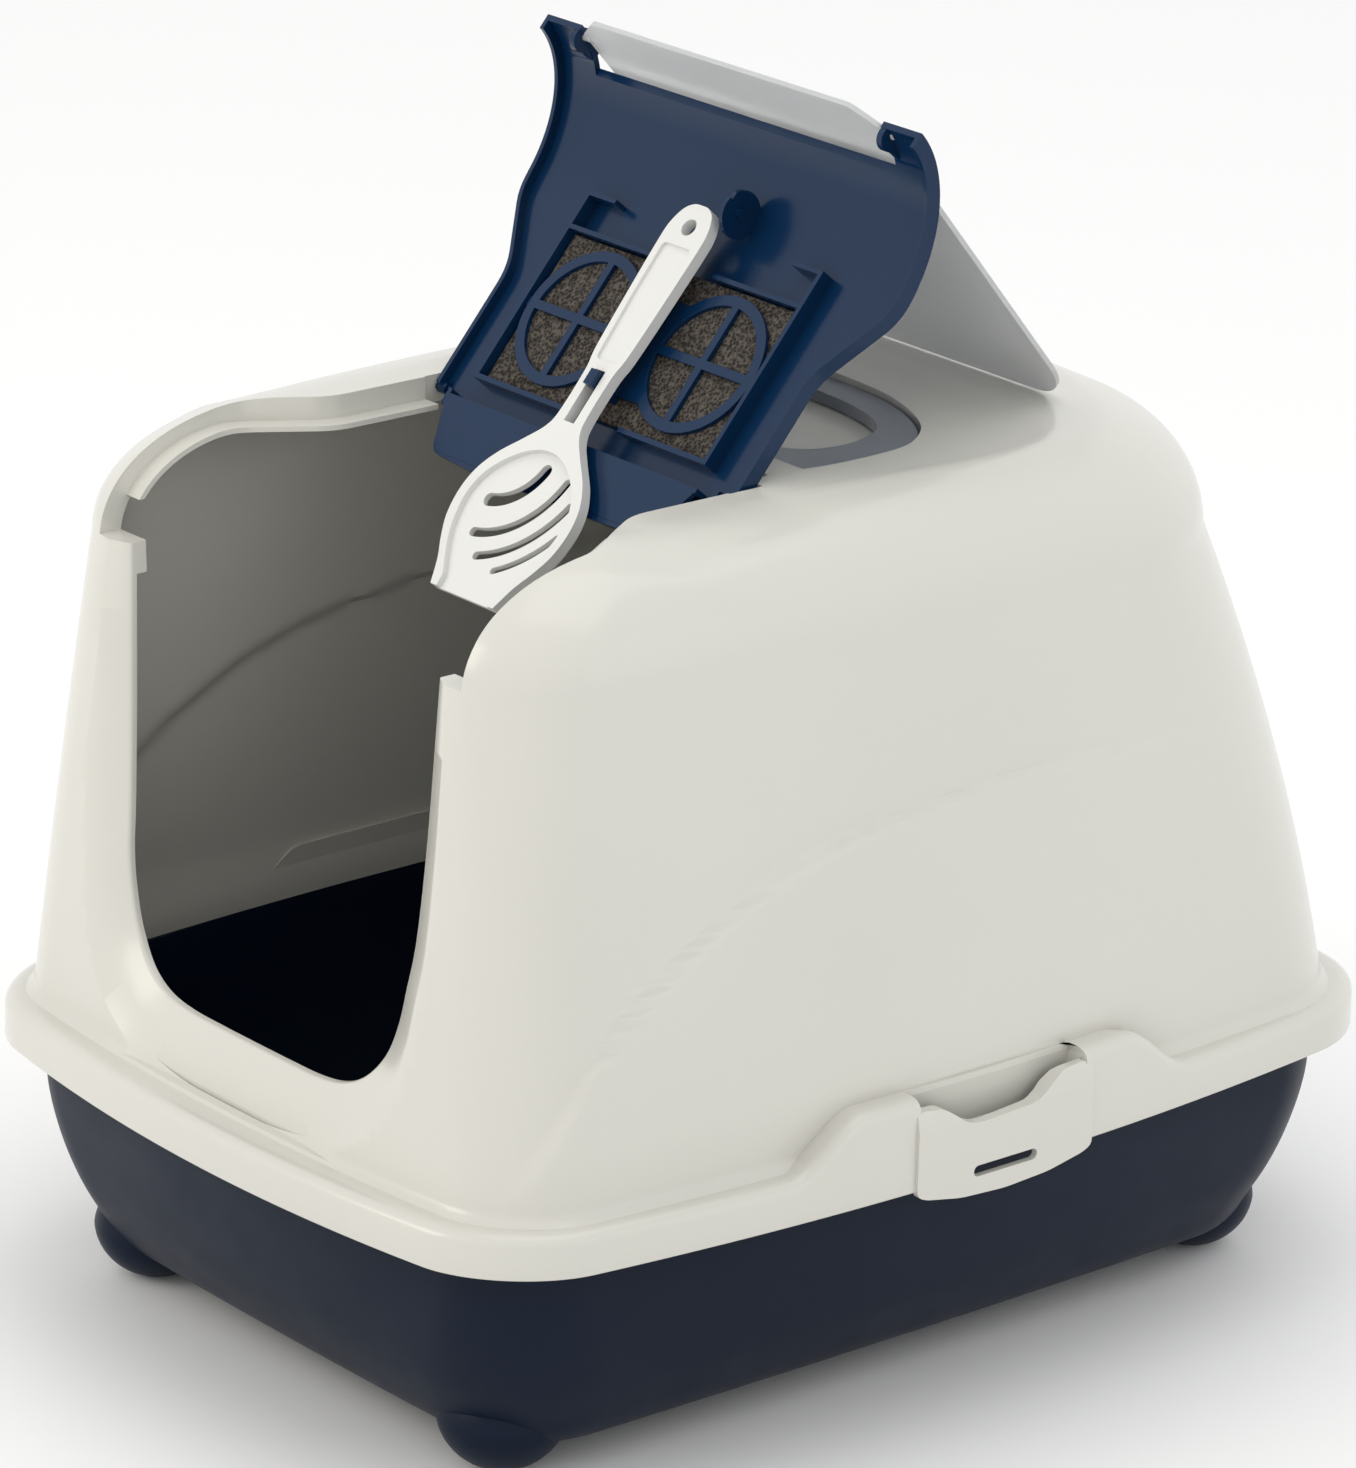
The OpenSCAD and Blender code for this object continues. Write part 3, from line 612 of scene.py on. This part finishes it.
def carbon_foam(name, colour, painted_pore_shade):
    """Open-cell foam: dull grey-brown, with painted shade in its pores: one cell pattern sets both colour and
    height, and its low points are painted darker.
    """
    finish = bpy.data.materials.new(name)
    finish.use_nodes = True
    nodes, links = finish.node_tree.nodes, finish.node_tree.links
    shader = nodes["Principled BSDF"]
    where = nodes.new("ShaderNodeTexCoord")
    cells = nodes.new("ShaderNodeTexVoronoi")
    cells.inputs["Scale"].default_value = 620.0
    speckle = nodes.new("ShaderNodeTexNoise")
    speckle.inputs["Scale"].default_value = 300.0
    speckle.inputs["Detail"].default_value = 5.0
    depth = nodes.new("ShaderNodeMath")
    depth.operation = "MULTIPLY"
    # The colour ramp paints the low points of the cell pattern dark: painted shade in the pores.
    tint = nodes.new("ShaderNodeValToRGB")
    tint.color_ramp.elements[0].position, tint.color_ramp.elements[1].position = 0.12, 0.42
    tint.color_ramp.elements[0].color, tint.color_ramp.elements[1].color = (*painted_pore_shade, 1), (*colour, 1)
    bump = nodes.new("ShaderNodeBump")
    bump.inputs["Strength"].default_value = 0.9
    bump.inputs["Distance"].default_value = 0.001
    for texture in (cells, speckle):
        links.new(where.outputs["Object"], texture.inputs["Vector"])
    links.new(cells.outputs["Distance"], depth.inputs[0])
    links.new(speckle.outputs["Fac"], depth.inputs[1])
    links.new(depth.outputs["Value"], tint.inputs["Fac"])
    links.new(tint.outputs["Color"], shader.inputs["Base Color"])
    links.new(depth.outputs["Value"], bump.inputs["Height"])
    links.new(bump.outputs["Normal"], shader.inputs["Normal"])
    shader.inputs["Roughness"].default_value = 0.95
    shader.inputs["Specular IOR Level"].default_value = 0.2
    return finish


# The second colour is painted shade for the foam's pores, not a colour of the foam itself.
foam = carbon_foam("carbon_foam", (0.105, 0.092, 0.078), (0.018, 0.015, 0.013))


def foam_rows():
    """The pad as rings from the middle of its lower face, over its four edges, to the middle of its
    upper face: each ring is a rectangle, and both faces are drawn in a little towards the edge."""
    middle = (PAD_LOW + PAD_HIGH) / 2
    reach = (PAD_HIGH - PAD_LOW) / 2
    t = np.linspace(-1, 1, 41)[:-1]
    square = np.concatenate([np.stack([t, -1 + 0 * t], 1), np.stack([1 + 0 * t, t], 1),
                             np.stack([-t, 1 + 0 * t], 1), np.stack([-1 + 0 * t, -t], 1)])
    rows = []
    for share, height in ([(s, -1.0) for s in np.linspace(0, 0.97, 14)] + [(0.99, -0.85), (1, -0.5), (1, 0.5)]
                          + [(0.99, 0.85)] + [(s, 1.0) for s in np.linspace(0.97, 0, 14)]):
        plan = middle[:2] + square * share * reach[:2]
        ripple = 0.12 * np.sin(plan[:, 0] * 0.9) * np.cos(plan[:, 1] * 1.1) - 0.14
        rows.append(np.column_stack([plan, middle[2] + height * (reach[2] + ripple)]))
    return rows


pad = turned_open(loft("foam_pad", foam_rows(), foam))
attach(pad, "lid")
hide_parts("filter_pad")

# Two spoked rings and the web between them snap over the pad, in the lid's own navy plastic. A lug
# on the web holds the scoop by the slot in its neck.
GRILLE_LOW, GRILLE_HIGH = 414.6, 417.0


def circle(x, y, radius, sides=72):
    """Points round a circle in plan."""
    turn = np.linspace(0, 2 * np.pi, sides, endpoint=False)
    return np.stack([x + radius * np.cos(turn), y + radius * np.sin(turn)], 1)


RING_X, RING_Y, RING_OUT, RING_IN = 45, -116, 36, 30.5
discs = [loft("tool", prism(circle(x, RING_Y, RING_OUT), GRILLE_LOW, GRILLE_HIGH), navy)
         for x in (-RING_X, RING_X)]
holes = [loft("tool", prism(circle(x, RING_Y, RING_IN), 400, 440), navy) for x in (-RING_X, RING_X)]
bars = [block((-47.2, -149, GRILLE_LOW), (-42.8, -83, GRILLE_HIGH), navy),
        block((42.8, -149, GRILLE_LOW), (47.2, -83, GRILLE_HIGH), navy),
        block((-82, -118.3, GRILLE_LOW), (-12, -113.7, GRILLE_HIGH), navy),
        block((12, -118.3, GRILLE_LOW), (82, -113.7, GRILLE_HIGH), navy),
        block((1.2, -92, 398), (6.8, -84, GRILLE_HIGH), navy)]
grille = combine(block((-14, -140, GRILLE_LOW), (22, -88, GRILLE_HIGH), navy),
                 [("UNION", disc) for disc in discs] + [("DIFFERENCE", hole) for hole in holes]
                 + [("UNION", bar) for bar in bars], navy)
grille.name = "filter_grille_rings"
turned_open(soften(grille, 0.5))
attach(grille, "lid")
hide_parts("filter_grille")

# ---- Scoop ----
# A slotted litter scoop in white polypropylene, clipped under the lid by its neck. The blade is a
# shallow dish with four curved slots, and the handle is hollowed along its face.
white = moulded_plastic("white_plastic", (0.74, 0.74, 0.715), (0.71, 0.71, 0.69), 0.36, 0.1)
SCOOP_X, SCOOP_Y, SCOOP_Z = 4.0, 29.0, 404.0
SCOOP_EDGE = np.vstack([[(0, 0)], through([
    (23, 0), (28, 12), (34, 22), (39, 33), (40.5, 46), (38, 58), (31, 69), (20, 80), (12, 89),
    (9.5, 98), (9.5, 120), (11.5, 132), (13, 160), (14, 190), (13.4, 200), (10, 208), (5, 211.5),
    (0, 212)], 150)])


def scoop_tool(outline, low, high):
    """A tool from an outline in the scoop's own plan, laid in its place under the closed lid."""
    plan = np.asarray(outline, float)
    placed = np.stack([SCOOP_X - plan[:, 0], SCOOP_Y - plan[:, 1]], 1)
    return loft("tool", prism(placed, SCOOP_Z + low, SCOOP_Z + high), white)


SLOT_HUB = np.array([26.0, 75.0])
SCOOP_SLOTS = [(28, -98, -168, 6.8), (45, -98, -170, 4.8), (57, -107, -162, 4.3), (66.5, -119, -150, 3.4)]


def curved_slot(radius, start, end, width):
    """A slot along an arc of `radius` about the hub, between two angles in degrees, with round ends."""
    turn = np.radians(np.linspace(start, end, 25))[:, None]
    ray = np.hstack([np.cos(turn), np.sin(turn)])
    tip = np.radians(np.linspace(0, 180, 9))[1:-1, None]
    ends = []
    for heading, sign in ((ray[-1], -1), (ray[0], 1)):
        along = np.array([-heading[1], heading[0]]) * sign
        bulge = -sign * heading * np.cos(tip) + along * np.sin(tip)
        ends.append(SLOT_HUB + heading * radius + width / 2 * bulge)
    return np.vstack([SLOT_HUB + ray * (radius + width / 2), ends[0],
                      SLOT_HUB + ray[::-1] * (radius - width / 2), ends[1]])


dish = np.vstack([[(0, -6), (18, -6)],
                  through([(19, 6), (25.5, 16), (31, 26), (34, 36), (35, 46), (32.5, 56), (26, 65),
                           (16, 73), (6, 77), (0, 77.6)], 40)])
GRIP = rounded([(0, 127), (7.6, 127), (9.4, 160), (10, 190), (0, 190)], [2, 2, 3])
scoop = combine(scoop_tool(both_sides(SCOOP_EDGE[1:-1]), -3, 3), [
    ("DIFFERENCE", scoop_tool(both_sides(dish), -6, 0)),
    ("DIFFERENCE", scoop_tool(both_sides(GRIP[1:-1]), -6, -1.4)),
    ("DIFFERENCE", scoop_tool([(-3.6, 94), (3.6, 94), (3.6, 122), (-3.6, 122)], -8, 8)),
    ("DIFFERENCE", scoop_tool(circle(0, 200, 4.3, 40), -8, 8)),
] + [("DIFFERENCE", scoop_tool(curved_slot(*slot), -8, 8)) for slot in SCOOP_SLOTS], white)
scoop.name = "litter_scoop"
turned_open(soften(scoop, 0.8, 3))
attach(scoop, "scoop")
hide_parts("scoop")

# ---- Flap ----
# The entrance's swing door: one sheet of frosted, half-clear plastic that hangs on two pins in the
# lid's ears. With the lid open it leans back over the roof.
FLAP_LENGTH, FLAP_HALF, FLAP_SHEET = 198.0, 106.0, 2.5
FLAP_PLACE_Y, FLAP_PLACE_Z = 18.4247, 578.0228
frosted = bpy.data.materials.new("frosted_plastic")
frosted.use_nodes = True
frosted_nodes, frosted_links = frosted.node_tree.nodes, frosted.node_tree.links
frosted_shader = frosted_nodes["Principled BSDF"]
frosted_place = frosted_nodes.new("ShaderNodeTexCoord")
frosted_clouds = frosted_nodes.new("ShaderNodeTexNoise")
frosted_clouds.inputs["Scale"].default_value = 9.0
frosted_tint = frosted_nodes.new("ShaderNodeValToRGB")
frosted_tint.color_ramp.elements[0].color = (0.76, 0.775, 0.78, 1)
frosted_tint.color_ramp.elements[1].color = (0.84, 0.85, 0.855, 1)
frosted_links.new(frosted_place.outputs["Object"], frosted_clouds.inputs["Vector"])
frosted_links.new(frosted_clouds.outputs["Fac"], frosted_tint.inputs["Fac"])
frosted_links.new(frosted_tint.outputs["Color"], frosted_shader.inputs["Base Color"])
frosted_shader.inputs["Roughness"].default_value = 0.38
frosted_shader.inputs["Transmission Weight"].default_value = 0.5
frosted_shader.inputs["IOR"].default_value = 1.45
corner_turn = np.radians(np.linspace(0, 90, 14))
flap_half_plan = np.vstack([
    rounded([(0, 15), (FLAP_HALF - 14, 15), (FLAP_HALF, 4), (FLAP_HALF, -4)], [3, 2])[1:],
    np.stack([FLAP_HALF - 35 + 28 * np.cos(corner_turn), 28 - FLAP_LENGTH - 28 * np.sin(corner_turn)], 1)])
flap_pins = [rod(*sorted((side * 103, side * 112)), 0, 0, 2.2, frosted) for side in (-1, 1)]
flap = combine(loft("tool", prism(both_sides(flap_half_plan), -FLAP_SHEET / 2, FLAP_SHEET / 2, 1), frosted),
               [("UNION", pin) for pin in flap_pins], frosted)
flap.name = "swing_flap"
flap_lean = math.acos((FLAP_PLACE_Z - DECK - 1.3) / FLAP_LENGTH)
flap_place = Matrix.Translation((0, FLAP_PLACE_Y / 1000, FLAP_PLACE_Z / 1000))
flap.data.transform(flap_place @ Matrix.Rotation(flap_lean, 4, "X"))
soften(flap, 0.7)
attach(flap, "flap")
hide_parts("door_flap")

# ---- Handle ----
# A flat D-shaped carrying handle in smoke grey, pinned at its front ends in the recess of the deck.
smoke = moulded_plastic("smoke_grey_plastic", (0.16, 0.185, 0.225), (0.15, 0.172, 0.21), 0.3, 0.35)
HANDLE_LOW, HANDLE_HIGH, PIVOT_Y = 418.0, 424.0, -20.0
GRIP_HOLE = through([(60, -4), (68, 0), (75, 9), (77.5, 20), (77, 31), (70, 49), (55, 61), (28, 68),
                     (0, 70)], 50)
handle_half = HANDLE_OUTLINE[HANDLE_OUTLINE[:, 1] > PIVOT_Y]
handle_edge = both_sides(np.vstack([[(102.3, PIVOT_Y)], handle_half[:-1]]))
handle = combine(loft("tool", prism(handle_edge, HANDLE_LOW, HANDLE_HIGH), smoke), [
    ("DIFFERENCE", loft("tool", prism(both_sides(GRIP_HOLE[:-1]), 400, 440), smoke)),
    ("UNION", rod(-102, 102, PIVOT_Y, 421, 3, smoke)),
    ("UNION", rod(-106, 106, PIVOT_Y, 421, 2.2, smoke))], smoke)
handle.name = "carry_handle"
soften(handle, 1.1, 3)
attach(handle, "handle")
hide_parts("handle")

# ---- Latches ----
# One moulded ivory clip on each side, pinned between the rim's shoulders. Its hook grips under the
# tray's flange, and its face has a slot for a finger.
LATCH_FACE = rounded([(-53, 140), (-53, 119), (-47, 116.5), (-26.5, 112.5), (0, 111), (26.5, 112.5),
                      (47, 116.5), (53, 119), (53, 159), (49, 160.5), (35, 159.5), (28, 155), (21, 150),
                      (15, 148.5), (-17, 147), (-24, 149), (-31, 154), (-37, 158), (-49, 159.5),
                      (-53, 158), (-53, 140)],
                     [3, 2, 4, 4, 4, 2, 3, 2, 1.5, 4, 3, 3, 2.5, 4, 2.5, 3, 3, 1.5, 1], 4)
LATCH_SECTION = [(222.8, 110), (226, 110.5), (226.2, 150), (225, 157), (223, 160.5), (219.5, 160.5),
                 (217.6, 158), (217.2, 154), (218.5, 150), (222.6, 146), (222.6, 134), (214.5, 133.4),
                 (214.5, 131.2), (222.6, 129)]
for side, word in ((1, "right"), (-1, "left")):
    section = np.array(LATCH_SECTION) * (side, 1)
    face = LATCH_FACE[:-1] + (LATCH_MIDDLE, 0)
    pins = []
    for low, high in ((-59, -43), (43, 59)):
        turn = np.linspace(0, 2 * np.pi, 32, endpoint=False)
        end = np.stack([side * 220.5 + 2.2 * np.cos(turn), 156 + 2.2 * np.sin(turn)], 1)
        pins.append(("UNION", loft("tool", prism(end, LATCH_MIDDLE + low, LATCH_MIDDLE + high, 1), ivory)))
    slot_turn = np.radians(np.linspace(-90, 90, 9))
    slot_end = np.stack([LATCH_MIDDLE + 16.5 + 2.7 * np.cos(slot_turn), 123.3 + 2.7 * np.sin(slot_turn)], 1)
    slot = np.vstack([slot_end, slot_end[::-1] * (-1, 1) + (2 * LATCH_MIDDLE, 0)])
    slot_cut = loft("tool", prism(slot, *sorted((side * 215, side * 235)), 0), ivory)
    latch = combine(loft("tool", prism(face, *sorted((side * 210, side * 230)), 0), ivory),
                    [("INTERSECT", loft("tool", prism(section, -60, 70, 1), ivory))] + pins
                    + [("DIFFERENCE", slot_cut)], ivory)
    latch.name = "side_latch_" + word
    soften(latch, 0.6)
    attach(latch, "latch_" + word)
    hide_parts("latch_" + word)
